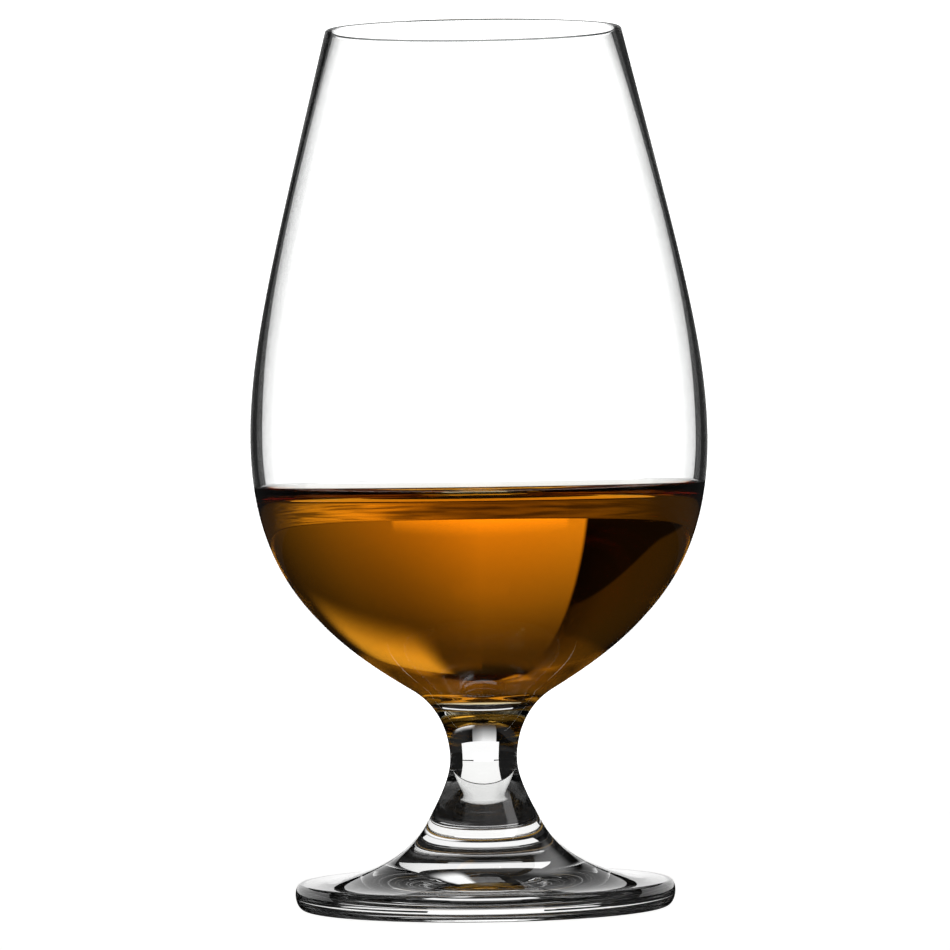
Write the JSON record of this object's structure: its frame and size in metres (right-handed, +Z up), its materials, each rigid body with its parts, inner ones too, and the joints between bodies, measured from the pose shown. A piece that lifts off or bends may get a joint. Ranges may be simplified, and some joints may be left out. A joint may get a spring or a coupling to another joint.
{
  "type": "beer tasting glass",
  "caption": "Stemmed tulip tasting glass with a narrowing mouth, short waisted stem and round foot, holding a clear amber drink with a meniscus.",
  "frame": {"origin": "on the glass's axis, at the surface that it stands on", "axes": "+Z up along the axis of the glass; the glass is round, so +X and +Y are any two level directions"},
  "size_m": [0.0782, 0.0782, 0.15],
  "materials": {
    "bowl_glass": "polished",
    "stem_glass": "polished",
    "foot_glass": "polished",
    "drink": "polished"
  },
  "bodies": {
    "glass": {"bowl": "bowl_glass", "stem": "stem_glass", "foot": "foot_glass"},
    "drink": {"drink": "drink"}
  },
  "joints": [
    {"name": "drink_swirl", "type": "hinge", "parent": "glass", "child": "drink", "pos_m": [0, 0, 0.036], "axis": [0, 0, 1], "continuous": true}
  ]
}
